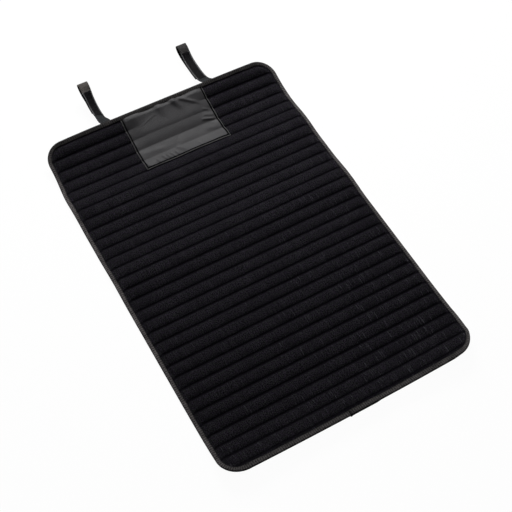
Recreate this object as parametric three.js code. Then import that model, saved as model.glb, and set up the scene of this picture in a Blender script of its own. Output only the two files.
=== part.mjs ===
// A quilted mat that hangs from a roof bar by two straps and guards the car while a board slides on.
// Millimetres, +Z up. X runs across the mat, +Y along it towards the straps.
// The origin is the middle of the underside. The middle lies flat and both ends curl up.
import * as THREE from 'three';

// Outline of the mat
const matWidth = 600;
const cornerRadius = 48;

// Quilting lines, which run across the mat
const seamCount = 30;
const seamPitch = 29.2;
const topMargin = 36.5;
const bottomMargin = 18.8;

// Rise of the ends over the middle, and the stretch in which each end rises
const topCurlHeight = 38;
const topCurlLength = 135;
const bottomCurlHeight = 18;
const bottomCurlLength = 125;

// Thickness of the cloths, and of the foam at a seam, at the rim and at a channel's crown
const faceThickness = 0.7;
const backingThickness = 0.7;
const foamAtSeam = 0.8;
const foamAtRim = 0.8;
const foamAtCrown = 5;

// Tape folded round the rim, with its ends overlapping on the bottom edge
const tapeThickness = 0.8;
const tapeReach = 10;
const tapeOverlapFrom = -23;
const tapeOverlapTo = 40;
const tapeStepLength = 9;

// Panel of coated fabric at the top edge, with a folded hem on its three free sides
const panelWidth = 217;
const panelChannels = 5;
const panelThickness = 0.6;
const panelHemWidth = 5;
const panelHemThickness = 1.2;
const panelTuck = 7;
const panelBridge = 0.5;

// Straps of webbing, each doubled back on itself in a loop
const strapSpacing = 269;
const strapWidth = 25;
const webbingThickness = 1.4;
const strapSewnLength = 30;
const pileThickness = 1.6;
const hookThickness = 1;
const hookLength = 41;
const hookFromEnd = 1;
const pileFromFold = 32;

// Clearances
const layerGap = 0.3;
const rimGap = 0.4;
const tapeInnerClearance = 1;
const rimRamp = 9;

// Fineness of the meshes
const closestRows = 1.2;
const cornerSteps = 12;
const bandStep = 4.5;
const foldSearchStep = 1;
const hemStep = 0.6;
const crownShares = [0.14, 0.5, 0.86];

// The steepness of a channel's sides beside its quilting lines: 1 is a plain half sine
const channelRoundness = 0.6;

const matLength = topMargin + (seamCount - 1) * seamPitch + bottomMargin;
const rimWidth = tapeReach + tapeInnerClearance;
const rampEnd = rimWidth + rimRamp;
const seams = Array.from({ length: seamCount }, (unused, index) => bottomMargin + index * seamPitch);

// The curve of the underside
// An end that rises as the square of the way into its curl has a closed form for its reach.
function curl(way, height, length) {
  const inside = Math.min(way, length);
  const rate = 2 * height / length ** 2;
  const tilt = Math.asin(rate * inside);
  const beyond = way - inside;
  return {
    reach: (inside * Math.cos(tilt) + tilt / rate) / 2 + beyond * Math.cos(tilt),
    rise: rate * inside ** 2 / 2 + beyond * Math.sin(tilt),
    tilt,
  };
}

// Where a distance s along the mat, from its bottom edge, lies in the Y-Z plane
function place(s) {
  const topStart = matLength - topCurlLength;
  if (s > topStart) {
    const top = curl(s - topStart, topCurlHeight, topCurlLength);
    return { y: topStart - matLength / 2 + top.reach, z: top.rise, tilt: top.tilt };
  }
  if (s < bottomCurlLength) {
    const bottom = curl(bottomCurlLength - s, bottomCurlHeight, bottomCurlLength);
    return { y: bottomCurlLength - matLength / 2 - bottom.reach, z: bottom.rise, tilt: -bottom.tilt };
  }
  return { y: s - matLength / 2, z: 0, tilt: 0 };
}

// A point at height h over the underside, square to it
function onMat(x, s, h) {
  const spot = place(s);
  return new THREE.Vector3(x, spot.y - h * Math.sin(spot.tilt), spot.z + h * Math.cos(spot.tilt));
}

// The outline and the quilting
function fromNearEnd(s) {
  return Math.min(s, matLength - s);
}

// Half the width of the outline drawn in by an inset, at a distance s along the mat
// Short of the inset it steps in by a share of the way, so that the columns stay apart.
const cornerLead = 0.6;

function halfWidth(s, inset) {
  const end = fromNearEnd(s);
  const straight = matWidth / 2 - cornerRadius;
  if (end <= inset) return straight - cornerLead * (inset - end);
  if (end >= cornerRadius) return matWidth / 2 - inset;
  return straight + Math.sqrt((cornerRadius - inset) ** 2 - (cornerRadius - end) ** 2);
}

function distanceFromEdge(x, s) {
  const side = matWidth / 2 - Math.abs(x);
  const end = fromNearEnd(s);
  if (side >= cornerRadius || end >= cornerRadius) return Math.min(side, end);
  return cornerRadius - Math.hypot(cornerRadius - side, cornerRadius - end);
}

// 0 in the flat rim that the tape holds, 1 where the quilting is at its full height
function fullness(x, s) {
  return THREE.MathUtils.smoothstep(distanceFromEdge(x, s), rimWidth, rampEnd);
}

const channelEdges = [rimWidth, ...seams, matLength - rimWidth];

// 0 on a quilting line, 1 on the crown of a channel
function puff(s) {
  const index = channelEdges.findIndex((edge) => edge >= s);
  if (index < 1) return 0;
  const way = (s - channelEdges[index - 1]) / (channelEdges[index] - channelEdges[index - 1]);
  return Math.sin(Math.PI * way) ** channelRoundness;
}

// Heights of the layers over the underside
const tapeFloor = tapeThickness + layerGap;

function backingBottom(x, s) {
  return tapeFloor * (1 - fullness(x, s));
}

function foamBottom(x, s) {
  return backingBottom(x, s) + backingThickness + layerGap;
}

function foamTop(x, s, loft = puff(s)) {
  const quilted = THREE.MathUtils.lerp(foamAtSeam, foamAtCrown, loft);
  return foamBottom(x, s) + THREE.MathUtils.lerp(foamAtRim, quilted, fullness(x, s));
}

function faceBottom(x, s) {
  return foamTop(x, s) + layerGap;
}

function faceTop(x, s) {
  return faceBottom(x, s) + faceThickness;
}

// The panel dips only part of the way into each quilting line.
function panelBottom(x, s) {
  const loft = panelBridge + (1 - panelBridge) * puff(s);
  return foamTop(x, s, loft) + layerGap + faceThickness + layerGap;
}

// Closed sheets on a grid of places, each row running across the mat
function sheetGeometry(grid, bottom, top) {
  const positions = [];
  const index = [];
  const columns = grid[0].length;
  const half = grid.length * columns;
  for (const height of [top, bottom]) {
    for (const { x, s } of grid.flat()) positions.push(...onMat(x, s, height(x, s)).toArray());
  }
  const quad = (a, b, c, d) => index.push(a, b, c, a, c, d);
  for (let row = 0; row < grid.length - 1; row += 1) {
    for (let column = 0; column < columns - 1; column += 1) {
      const a = row * columns + column;
      const b = a + columns;
      quad(a, a + 1, b + 1, b);
      quad(half + a, half + b, half + b + 1, half + a + 1);
    }
    const left = row * columns;
    const right = left + columns - 1;
    quad(left, left + columns, half + left + columns, half + left);
    quad(right, half + right, half + right + columns, right + columns);
  }
  const last = half - columns;
  for (let column = 0; column < columns - 1; column += 1) {
    quad(column, half + column, half + column + 1, column + 1);
    quad(last + column, last + column + 1, half + last + column + 1, half + last + column);
  }
  const geometry = new THREE.BufferGeometry();
  geometry.setAttribute('position', new THREE.Float32BufferAttribute(positions, 3));
  geometry.setIndex(index);
  geometry.computeVertexNormals();
  return geometry;
}

// Sorted distances, without any that falls close to one that stands earlier in the list
function withoutNear(distances) {
  const kept = [];
  for (const distance of distances) {
    if (kept.every((other) => Math.abs(other - distance) > closestRows)) kept.push(distance);
  }
  return kept.sort((a, b) => a - b);
}

// Rows at even angles round a corner
function cornerRows() {
  const count = Math.round(cornerSteps / 2);
  return Array.from({ length: count }, (unused, index) => {
    return cornerRadius * (1 - Math.cos(Math.PI / 2 * (index + 1) / count));
  });
}

function bothEnds(rows) {
  return rows.flatMap((row) => [row, matLength - row]);
}

function quiltedRows() {
  const crowns = channelEdges.slice(1).flatMap((edge, index) => {
    const start = channelEdges[index];
    return crownShares.map((share) => start + share * (edge - start));
  });
  const needed = [0, matLength, ...bothEnds([rimWidth, rampEnd]), ...seams];
  return withoutNear([...needed, ...bothEnds(cornerRows()), ...crowns]);
}

// Fewer rows, for what doesn't follow the quilting: all of those at the corners, every second one
// in a curl and none in the flat middle
function plainRows() {
  const flat = (s) => s > bottomCurlLength && s < matLength - topCurlLength;
  const rows = quiltedRows().filter((s, index) => {
    return fromNearEnd(s) <= cornerRadius + closestRows || (index % 2 === 0 && !flat(s));
  });
  return withoutNear([bottomCurlLength, matLength - topCurlLength, ...rows]);
}

function matGrid(rows) {
  return rows.map((s) => {
    const half = [halfWidth(s, 0), halfWidth(s, rimWidth), halfWidth(s, rampEnd)];
    const across = [...half.map((x) => -x), ...half.reverse()];
    return across.map((x) => ({ x, s }));
  });
}

// The folded tape round the rim
// The tape's path round the outline, from the middle of the bottom edge and back past its start
function tapePath() {
  const path = [];
  const innerX = matWidth / 2 - cornerRadius;
  const stop = (x, s, outX, outS, lift = 0) => path.push({ x, s, outX, outS, lift });
  const corner = (signX, centreS, from) => {
    for (let step = 0; step <= cornerSteps; step += 1) {
      const angle = from + Math.PI / 2 * step / cornerSteps;
      const outX = Math.cos(angle);
      const outS = Math.sin(angle);
      stop(signX * innerX + cornerRadius * outX, centreS + cornerRadius * outS, outX, outS);
    }
  };
  const side = plainRows().filter((s) => fromNearEnd(s) > cornerRadius + closestRows);
  const overPanel = panelWidth / 2 + tapeInnerClearance;
  const panelLift = panelThickness + layerGap;
  const tapeLift = tapeThickness + layerGap;
  stop(tapeOverlapFrom, 0, 0, -1);
  stop(tapeOverlapTo, 0, 0, -1);
  corner(1, cornerRadius, -Math.PI / 2);
  for (const s of side) stop(matWidth / 2, s, 1, 0);
  corner(1, matLength - cornerRadius, 0);
  stop(overPanel + tapeStepLength, matLength, 0, 1);
  stop(overPanel, matLength, 0, 1, { top: panelLift, all: 0 });
  stop(-overPanel, matLength, 0, 1, { top: panelLift, all: 0 });
  stop(-overPanel - tapeStepLength, matLength, 0, 1);
  corner(-1, matLength - cornerRadius, Math.PI / 2);
  for (const s of side.reverse()) stop(-matWidth / 2, s, -1, 0);
  corner(-1, cornerRadius, Math.PI);
  stop(tapeOverlapFrom - tapeStepLength, 0, 0, -1);
  stop(tapeOverlapFrom - layerGap, 0, 0, -1, { top: 0, all: tapeLift });
  stop(tapeOverlapTo, 0, 0, -1, { top: 0, all: tapeLift });
  return path;
}

// The C of the folded tape, as the way in from the outline and the height over the underside
function tapeSection({ top, all }) {
  const web = -rimGap - all;
  const under = tapeThickness - all;
  const over = tapeFloor + backingThickness + foamAtRim + faceThickness + 3 * layerGap + top + all;
  return [
    [web - tapeThickness, under - tapeThickness],
    [tapeReach, under - tapeThickness],
    [tapeReach, under],
    [web, under],
    [web, over],
    [tapeReach, over],
    [tapeReach, over + tapeThickness],
    [web - tapeThickness, over + tapeThickness],
  ];
}

function tapeGeometry() {
  const path = tapePath();
  const count = 8;
  const positions = [];
  const index = [];
  for (const { x, s, outX, outS, lift } of path) {
    for (const [inward, height] of tapeSection(lift || { top: 0, all: 0 })) {
      positions.push(...onMat(x - outX * inward, s - outS * inward, height).toArray());
    }
  }
  for (let station = 0; station < path.length - 1; station += 1) {
    for (let corner = 0; corner < count; corner += 1) {
      const a = station * count + corner;
      const b = station * count + (corner + 1) % count;
      index.push(a, b, b + count, a, b + count, a + count);
    }
  }
  const cap = [[0, 1, 2], [0, 2, 3], [0, 3, 4], [0, 4, 7], [4, 5, 6], [4, 6, 7]];
  const last = (path.length - 1) * count;
  for (const [a, b, c] of cap) {
    index.push(a, c, b);
    index.push(last + a, last + b, last + c);
  }
  const geometry = new THREE.BufferGeometry();
  geometry.setAttribute('position', new THREE.Float32BufferAttribute(positions, 3));
  geometry.setIndex(index);
  geometry.computeVertexNormals();
  return geometry;
}

// The panel of coated fabric
const panelPastSeam = 1;
const panelEnd = matLength - topMargin - (panelChannels - 1) * seamPitch - panelPastSeam;

function panelTop(x, s) {
  const side = panelWidth / 2 - Math.abs(x);
  const inHem = Math.min(side, s - panelEnd) < panelHemWidth + hemStep / 2;
  const hem = inHem && distanceFromEdge(x, s) > rimWidth;
  return panelBottom(x, s) + (hem ? panelHemThickness : panelThickness);
}

function panelGeometry() {
  const under = matLength - tapeReach + panelTuck;
  const hem = panelEnd + panelHemWidth;
  const quilted = quiltedRows().filter((s) => s > hem + hemStep + closestRows && s < under - closestRows);
  const rows = [panelEnd, hem, hem + hemStep, ...quilted, under];
  const edge = panelWidth / 2;
  const half = [edge, edge - panelHemWidth, edge - panelHemWidth - hemStep];
  const across = [...half.map((x) => -x), ...half.reverse()];
  return sheetGeometry(rows.map((s) => across.map((x) => ({ x, s }))), panelBottom, panelTop);
}

// The straps
// The free run of a strap beyond the mat's top edge, as the way out from the edge and the height
// over the surface that the mat lies on. It sags, rises to the fold and comes back underneath.
const leftRun = {
  out: [[14, 32], [34, 22.5], [54, 17.5], [74, 19.5], [92, 27], [108, 36.5], [120, 42.5]],
  fold: [[129, 43], [133.5, 37], [129, 30.5]],
  back: [[118, 26.5], [103, 21], [88, 15.5], [72, 13], [58, 12]],
  pileLength: 70,
};
const rightRun = {
  out: [[12, 31], [28, 20], [44, 14.5], [60, 13.2], [78, 13.8], [94, 15.6], [106, 19], [118, 24.5], [130, 29.5]],
  fold: [[139, 29.5], [143.5, 22.5], [138, 16]],
  back: [[126, 12.5], [110, 10.4], [94, 9.6], [76, 9], [58, 8.4], [40, 9.6]],
  pileLength: 94,
};

function strapCurve(run) {
  const centre = -layerGap - webbingThickness / 2;
  const sewn = [3, 2, 1, 0].map((third) => onMat(0, matLength - third * strapSewnLength / 3, centre));
  const past = onMat(0, matLength + rimGap + tapeThickness, centre);
  const edge = place(matLength).y;
  const free = [...run.out, ...run.fold, ...run.back].map(([out, height]) => {
    return new THREE.Vector3(0, edge + out, height);
  });
  return new THREE.CatmullRomCurve3([...sewn, past, ...free], false, 'centripetal');
}

// The stretch of a strap's curve from one length along it to another, between two heights over the
// strap's middle, as a band across the strap's width
function bandGeometry(curve, from, to, low, high) {
  const total = curve.getLength();
  const steps = Math.ceil((to - from) / bandStep);
  const lower = [];
  const upper = [];
  for (let step = 0; step <= steps; step += 1) {
    const share = THREE.MathUtils.lerp(from, to, step / steps) / total;
    const spot = curve.getPointAt(share);
    const ahead = curve.getTangentAt(share);
    lower.push(new THREE.Vector2(spot.y - ahead.z * low, spot.z + ahead.y * low));
    upper.push(new THREE.Vector2(spot.y - ahead.z * high, spot.z + ahead.y * high));
  }
  const shape = new THREE.Shape([...lower, ...upper.reverse()]);
  const geometry = new THREE.ExtrudeGeometry(shape, { depth: strapWidth, bevelEnabled: false });
  geometry.translate(0, 0, -strapWidth / 2);
  const across = new THREE.Vector3(1, 0, 0);
  const along = new THREE.Vector3(0, 1, 0);
  const up = new THREE.Vector3(0, 0, 1);
  return geometry.applyMatrix4(new THREE.Matrix4().makeBasis(along, up, across));
}

// The length along a strap's curve at which it turns back
function foldLength(curve) {
  const total = curve.getLength();
  let farthest = { y: -Infinity, length: 0 };
  for (let length = 0; length <= total; length += foldSearchStep) {
    const { y } = curve.getPointAt(length / total);
    if (y > farthest.y) farthest = { y, length };
  }
  return farthest.length;
}

function webbingGeometry(curve) {
  return bandGeometry(curve, 0, curve.getLength(), -webbingThickness / 2, webbingThickness / 2);
}

function pileGeometry(curve, run) {
  const low = webbingThickness / 2 + layerGap;
  const to = foldLength(curve) - pileFromFold;
  return bandGeometry(curve, to - run.pileLength, to, low, low + pileThickness);
}

function hookGeometry(curve) {
  const high = -webbingThickness / 2 - layerGap;
  const total = curve.getLength();
  const to = total - hookFromEnd;
  return bandGeometry(curve, to - hookLength, to, high - hookThickness, high);
}

// Materials and the finished group
function finish(color, roughness) {
  return new THREE.MeshStandardMaterial({ color, roughness, metalness: 0 });
}

const mat = new THREE.Group();

function addPiece(name, geometry, material, x = 0) {
  const mesh = new THREE.Mesh(geometry, material);
  mesh.name = name;
  mesh.position.x = x;
  mat.add(mesh);
}

const quilted = matGrid(quiltedRows());
addPiece('face_fabric', sheetGeometry(quilted, faceBottom, faceTop), finish('#1b1c1f', 0.9));
addPiece('foam_padding', sheetGeometry(quilted, foamBottom, foamTop), finish('#8c8c88', 0.95));
const backingTop = (x, s) => backingBottom(x, s) + backingThickness;
addPiece('backing_fabric', sheetGeometry(matGrid(plainRows()), backingBottom, backingTop), finish('#202124', 0.85));
addPiece('edge_binding', tapeGeometry(), finish('#2d2b29', 0.85));
addPiece('patch_panel', panelGeometry(), finish('#47484b', 0.5));

for (const [side, sign, run] of [['left', -1, leftRun], ['right', 1, rightRun]]) {
  const x = sign * strapSpacing / 2;
  const curve = strapCurve(run);
  addPiece(`strap_${side}`, webbingGeometry(curve), finish('#3b3e42', 0.8), x);
  addPiece(`pile_tape_${side}`, pileGeometry(curve, run), finish('#121214', 0.95), x);
  addPiece(`hook_tape_${side}`, hookGeometry(curve), finish('#1d1d1f', 0.7), x);
}

export default mat;
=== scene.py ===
import math

import bpy
import numpy as np
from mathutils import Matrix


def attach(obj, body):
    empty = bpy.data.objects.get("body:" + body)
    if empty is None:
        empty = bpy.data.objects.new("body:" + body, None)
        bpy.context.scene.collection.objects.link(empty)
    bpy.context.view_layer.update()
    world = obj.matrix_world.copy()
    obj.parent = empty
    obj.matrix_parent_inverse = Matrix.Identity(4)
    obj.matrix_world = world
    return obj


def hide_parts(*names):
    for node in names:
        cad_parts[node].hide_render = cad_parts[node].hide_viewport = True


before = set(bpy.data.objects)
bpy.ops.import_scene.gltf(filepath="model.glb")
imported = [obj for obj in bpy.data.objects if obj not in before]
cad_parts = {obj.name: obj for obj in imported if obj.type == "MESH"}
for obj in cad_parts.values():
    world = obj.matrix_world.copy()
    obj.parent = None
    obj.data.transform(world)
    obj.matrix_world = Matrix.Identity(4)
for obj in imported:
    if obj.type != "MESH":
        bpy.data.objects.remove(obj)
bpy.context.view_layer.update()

# Sizes in millimetres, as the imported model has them, with the quilting lines 1.5 mm nearer the bottom edge
# A place on the mat is (x, s, h): across it, along it from its bottom edge, and over its underside.
MAT_WIDTH = 600
CORNER_RADIUS = 48
SEAM_COUNT = 30
SEAM_PITCH = 29.2
BOTTOM_MARGIN = 17.3
TOP_MARGIN = 38.0
MAT_LENGTH = BOTTOM_MARGIN + (SEAM_COUNT - 1) * SEAM_PITCH + TOP_MARGIN
SEAMS = [BOTTOM_MARGIN + index * SEAM_PITCH for index in range(SEAM_COUNT)]
TOP_CURL_HEIGHT = 38
TOP_CURL_LENGTH = 135
BOTTOM_CURL_HEIGHT = 18
BOTTOM_CURL_LENGTH = 125
# The tape holds the mat flat up to RIM_WIDTH, and the quilting has its full height from RAMP_END.
RIM_WIDTH = 10.2
RAMP_END = 19
RIM_RISE = 1.1
FOAM_BASE = 1.0
FOAM_LEAST = 0.8
FOAM_SWELL = 4.2
FACE_THICKNESS = 0.7
FACE_OVER_FOAM = 1.0
BACKING_THICKNESS = 0.68
PANEL_HALF_WIDTH = 108.5
PANEL_CHANNELS = 5
PANEL_END = MAT_LENGTH - TOP_MARGIN - (PANEL_CHANNELS - 1) * SEAM_PITCH - 1
STRAP_X = 134.5
STRAP_WIDTH = 25
WEBBING = 1.4


# Nodes, materials and meshes
def linear(code):
    """Linear colour from an sRGB hex code."""
    parts = [int(code[place:place + 2], 16) / 255 for place in (1, 3, 5)]
    return [part / 12.92 if part <= 0.04045 else ((part + 0.055) / 1.055) ** 2.4 for part in parts] + [1.0]


def fill(tree, socket, value):
    """Link a node or one of its outputs to a socket, or set the socket's value; a hex code is a colour."""
    if isinstance(value, bpy.types.Node):
        value = next(output for output in value.outputs if output.enabled)
    if isinstance(value, bpy.types.NodeSocket):
        tree.links.new(value, socket)
    else:
        socket.default_value = linear(value) if str(value).startswith("#") else value


# What these nodes are set to unless told otherwise
USUAL = {"Mix": {"data_type": "RGBA"}, "TexNoise": {"noise_dimensions": "2D"}}


def add_node(tree, kind, inputs=(), **settings):
    """Add a node with its properties and inputs, which are listed, or named or numbered in a dictionary."""
    node = tree.nodes.new(kind if "Node" in kind else "ShaderNode" + kind)
    for name, value in {**USUAL.get(kind, {}), **settings}.items():
        setattr(node, name, value)
    for key, value in inputs.items() if isinstance(inputs, dict) else enumerate(inputs):
        fill(tree, node.inputs[key], value)
    return node


def blank_tree(owner):
    """The emptied node tree of a material or a world."""
    owner.use_nodes = True
    owner.node_tree.nodes.clear()
    return owner.node_tree


def cloth_material(name, pattern, roughness, specular, more=None, colours=()):
    """A material from its pattern, which is drawn on the piece's own UV map in millimetres."""
    made = bpy.data.materials.new(name)
    tree = blank_tree(made)
    flat = add_node(tree, "UVMap", uv_map="flat")
    place = add_node(tree, "VectorMath", {0: flat, "Scale": 1000.0}, operation="SCALE")
    split = add_node(tree, "SeparateXYZ", [place])
    found = pattern(tree, place, *split.outputs[:2], *colours)
    shader = add_node(tree, "BsdfPrincipled",
                      {"Roughness": roughness, "Specular IOR Level": specular, **(more or {}), **found})
    add_node(tree, "OutputMaterial", {"Surface": shader})
    return made


def new_piece(name, points, faces, flat=None, edges=(), material=None):
    """A piece from points in millimetres, with its flat layout as its UV map."""
    mesh = bpy.data.meshes.new(name)
    mesh.from_pydata((np.asarray(points, float).reshape(-1, 3) / 1000).tolist(), list(edges), faces)
    if flat is not None:
        layer = mesh.uv_layers.new(name="flat")
        corners = np.zeros(len(mesh.loops), dtype=np.int32)
        mesh.loops.foreach_get("vertex_index", corners)
        spread = np.asarray(flat, float).reshape(-1, 2)[corners] / 1000
        layer.data.foreach_set("uv", spread.ravel())
    if faces:
        mesh.shade_smooth()
    if material:
        mesh.materials.append(material)
    return placed(name, mesh)


def placed(name, data):
    """A new object in the scene that holds the given data."""
    piece = bpy.data.objects.new(name, data)
    bpy.context.scene.collection.objects.link(piece)
    return piece


def mark(piece, name, values, kind="FLOAT", field="value"):
    """Keep a value for each point of a piece."""
    layer = piece.data.attributes.new(name, kind, "POINT")
    layer.data.foreach_set(field, np.asarray(values, float).ravel())


def run_along(points):
    """The length so far at each of some points in a row."""
    return np.concatenate([[0], np.cumsum(np.hypot(*np.diff(points, axis=0).T))])


def grid_faces(rows, columns):
    """The faces between the points of a grid."""
    index = np.arange(rows * columns).reshape(rows, columns)
    return np.stack([index[:-1, :-1], index[:-1, 1:], index[1:, 1:], index[1:, :-1]], -1).reshape(-1, 4)


def closed_sheet(name, x, s, high, low, material, flat=None):
    """A cloth on the mat, with two faces and a rim, from a grid of places and its heights above and below."""
    rows, columns = x.shape
    count = rows * columns
    upper_faces = grid_faces(rows, columns)
    index = np.arange(count).reshape(rows, columns)
    around = np.concatenate([index[0, :], index[1:, -1], index[-1, -2::-1], index[-2:0:-1, 0]])
    following = np.roll(around, -1)
    rim = np.stack([following, around, around + count, following + count], 1)
    faces = np.concatenate([upper_faces, upper_faces[:, ::-1] + count, rim]).tolist()
    points = np.concatenate([on_mat(x, s, h).reshape(-1, 3) for h in (high, low)])
    layout = np.stack(flat or (x, s), -1).reshape(-1, 2)
    return new_piece(name, points, faces, np.concatenate([layout, layout]), material=material)


def swept_band(name, rings, flat, material):
    """A closed band from rings of points, with both of its ends capped."""
    stations, count = rings.shape[:2]
    index = np.arange(stations * count).reshape(stations, count)
    following = np.roll(index, -1, axis=1)
    faces = np.stack([index[:-1], following[:-1], following[1:], index[1:]], -1).reshape(-1, 4).tolist()
    faces.append(index[0, ::-1].tolist())
    faces.append(index[-1].tolist())
    return new_piece(name, rings, faces, flat, material=material)


# The shape of the mat
def smooth(value, start, end):
    """0 before a start and 1 past an end, with a gentle rise between."""
    share = np.clip((value - start) / (end - start), 0, 1)
    return share * share * (3 - 2 * share)


def swell(way, centre, half):
    """A round hump: 1 at its centre and 0 from half its width away."""
    return 0.5 + 0.5 * np.cos(np.pi * np.clip(np.abs(way - centre) / half, 0, 1))


def curled_end(way, height, length):
    """How far an end reaches and rises, and how steep it is, a way into its curl."""
    rate = 2 * height / length ** 2
    tilt = np.arcsin(np.clip(rate * way, -1, 1))
    return (way * np.cos(tilt) + tilt / rate) / 2, rate * way ** 2 / 2, tilt


def middle_line(s):
    """Place and tilt of the underside at a distance s along the mat."""
    top_start = MAT_LENGTH - TOP_CURL_LENGTH
    reach, rise, tilt = curled_end(np.maximum(s - top_start, 0), TOP_CURL_HEIGHT, TOP_CURL_LENGTH)
    low_way = np.maximum(BOTTOM_CURL_LENGTH - s, 0)
    low_reach, low_rise, low_tilt = curled_end(low_way, BOTTOM_CURL_HEIGHT, BOTTOM_CURL_LENGTH)
    y = np.clip(s, BOTTOM_CURL_LENGTH, top_start) - MAT_LENGTH / 2 + reach - low_reach
    return y, rise + low_rise, tilt - low_tilt


def slack_lift(x, s):
    """How far the mat's slack waves and its bottom corners lift off the surface, and the top ones sink."""
    from_top = MAT_LENGTH - s
    waves = 5.0 * swell(s, 513, 76) + 4.6 * swell(s, 707, 66) + 1.8 * np.clip(1 - from_top / 150, 0, 1.1) ** 2
    low = np.clip(1 - s / 200, 0, 1) ** 2 * (np.abs(x) / 300) ** 2 * np.where(x < 0, 10.7, 14.0)
    outer = np.clip((np.abs(x) - 150) / 150, 0, 1) ** 2
    high = np.clip(1 - from_top / TOP_CURL_LENGTH, 0, 1) ** 2 * outer * np.where(x < 0, 5.3, 3.1)
    return waves + low - high


def drawn_in(x, s):
    """How far the right edge, a top corner and a bottom corner are drawn in, across the mat and along it."""
    right = np.clip(x / 300, 0, 1.1) ** 3 * swell(s, 24, 74) * -5.4
    left = np.clip(-x / 300, 0, 1.1) ** 3 * swell(s, MAT_LENGTH - 62, 90) * 4.6
    corner = 6.0 * np.clip((x - 230) / 70, 0, 1.1) * np.clip((45 - s) / 45, 0, 1.1)
    return right + left - corner, corner


def on_mat(x, s, h):
    """The point at a height h over the mat's underside, square to it."""
    x, s, h = np.broadcast_arrays(np.asarray(x, float), np.asarray(s, float), np.asarray(h, float))
    y, z, tilt = middle_line(s)
    slope_x = slack_lift(x + 0.5, s) - slack_lift(x - 0.5, s)
    slope_s = np.sin(tilt) + slack_lift(x, s + 0.5) - slack_lift(x, s - 0.5)
    normal = np.stack([-slope_x * np.cos(tilt), -slope_s, np.cos(tilt)], -1)
    normal /= np.linalg.norm(normal, axis=-1, keepdims=True)
    aside, ahead = drawn_in(x, s)
    return np.stack([x + aside, y + ahead, z + slack_lift(x, s)], -1) + normal * h[..., None]


def from_edge(x, s):
    """Distance from the rounded outline."""
    side = MAT_WIDTH / 2 - np.abs(x)
    end = np.minimum(s, MAT_LENGTH - s)
    corner = CORNER_RADIUS - np.hypot(CORNER_RADIUS - side, CORNER_RADIUS - end)
    return np.where((side >= CORNER_RADIUS) | (end >= CORNER_RADIUS), np.minimum(side, end), corner)


def fullness(x, s):
    """0 in the flat rim that the tape holds, 1 where the quilting is at its full height."""
    return smooth(from_edge(x, s), RIM_WIDTH, RAMP_END)


CHANNEL_EDGES = np.array([RIM_WIDTH] + SEAMS + [MAT_LENGTH - RIM_WIDTH])


def channel_way(s):
    """The way across a channel, from 0 to 1, and -1 outside the channels."""
    index = np.clip(np.searchsorted(CHANNEL_EDGES, s, side="right") - 1, 0, len(CHANNEL_EDGES) - 2)
    way = (s - CHANNEL_EDGES[index]) / (CHANNEL_EDGES[index + 1] - CHANNEL_EDGES[index])
    return np.where((s < CHANNEL_EDGES[0]) | (s > CHANNEL_EDGES[-1]), 0, way)


def puff(s):
    """0 on a quilting line and 1 on the crown of a channel."""
    return np.maximum(np.sin(np.pi * channel_way(s)), 0) ** 0.52


def off_line(s, lines):
    """The way along the mat to the nearest of some lines."""
    return np.abs(np.asarray(s)[..., None] - np.array(lines)).min(-1)


def backing_bottom(x, s):
    """Height of the backing's underside, which the tape holds up at the rim."""
    return RIM_RISE * (1 - fullness(x, s))


def foam_top(x, s, loft):
    """Height of the foam's top where it isn't slack, from 0 to 1 of its loft."""
    full = fullness(x, s)
    least = backing_bottom(x, s) + FOAM_BASE + FOAM_LEAST * (1 - full)
    return least + full * (FOAM_LEAST + FOAM_SWELL * loft)


def foam_upper(x, s):
    """The foam's own top: slack under the crowns, and crushed flat along the quilting lines."""
    crushed = 0.6 * np.exp(-(off_line(s, CHANNEL_EDGES) / 1.8) ** 2)
    return foam_top(x, s, puff(s)) - fullness(x, s) * (0.9 * puff(s) + crushed)


def half_width(s, inset):
    """Half the outline's width at a distance s along it, drawn in by an inset."""
    end = np.minimum(s, MAT_LENGTH - s)
    straight = MAT_WIDTH / 2 - CORNER_RADIUS
    inside = np.clip((CORNER_RADIUS - inset) ** 2 - (CORNER_RADIUS - end) ** 2, 0, None)
    return np.where(end >= CORNER_RADIUS, MAT_WIDTH / 2 - inset, straight + np.sqrt(inside))


def mat_grid(shares, columns, inset):
    """Places across and along the mat, with rows at the given shares of each channel."""
    edges = [inset + 0.01, 4.0, 8.0]
    rows = list(edges)
    for low, high in zip(CHANNEL_EDGES[:-1], CHANNEL_EDGES[1:]):
        rows += [low + (high - low) * share for share in shares]
    rows += [CHANNEL_EDGES[-1]] + [MAT_LENGTH - edge for edge in reversed(edges)]
    s = np.array(rows)[:, None]
    spread = np.sin(np.linspace(-1, 1, columns) * 1.15) / math.sin(1.15)
    x = half_width(s, inset) * spread[None, :]
    return x, s + 0 * x


# What the materials share
def wave(tree, way, pitch):
    """A wave with a given pitch along a way."""
    turn = add_node(tree, "Math", [way, math.tau / pitch], operation="MULTIPLY")
    return add_node(tree, "Math", [turn], operation="SINE")


def woven(tree, x, s, pitch):
    """A plain weave: a wave across the cloth times a wave along it."""
    return add_node(tree, "Math", [wave(tree, x, pitch), wave(tree, s, pitch)], operation="MULTIPLY")


def seam_groove(tree, s, first, reach):
    """1 along each quilting line and 0 from a reach away, where the first line is at a given place."""
    shifted = add_node(tree, "Math", [s, first], operation="SUBTRACT")
    off_seam = add_node(tree, "Math", [shifted, SEAM_PITCH / 2], operation="PINGPONG")
    return add_node(tree, "MapRange", [off_seam, 0.6, reach, 1.0, 0.0], interpolation_type="SMOOTHSTEP")


def surface(tree, colour, height, strength, depth):
    """A shader's colour, and its bumps with their strength and their depth in metres."""
    bump = add_node(tree, "Bump", {"Strength": strength, "Distance": depth, "Height": height})
    return {"Base Color": colour, "Normal": bump}


def layered(tree, colour, layers):
    """Lay other colours over a colour one by one, each by its own share."""
    for share, over in layers:
        colour = add_node(tree, "Mix", {0: share, 6: colour, 7: over})
    return colour


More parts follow.
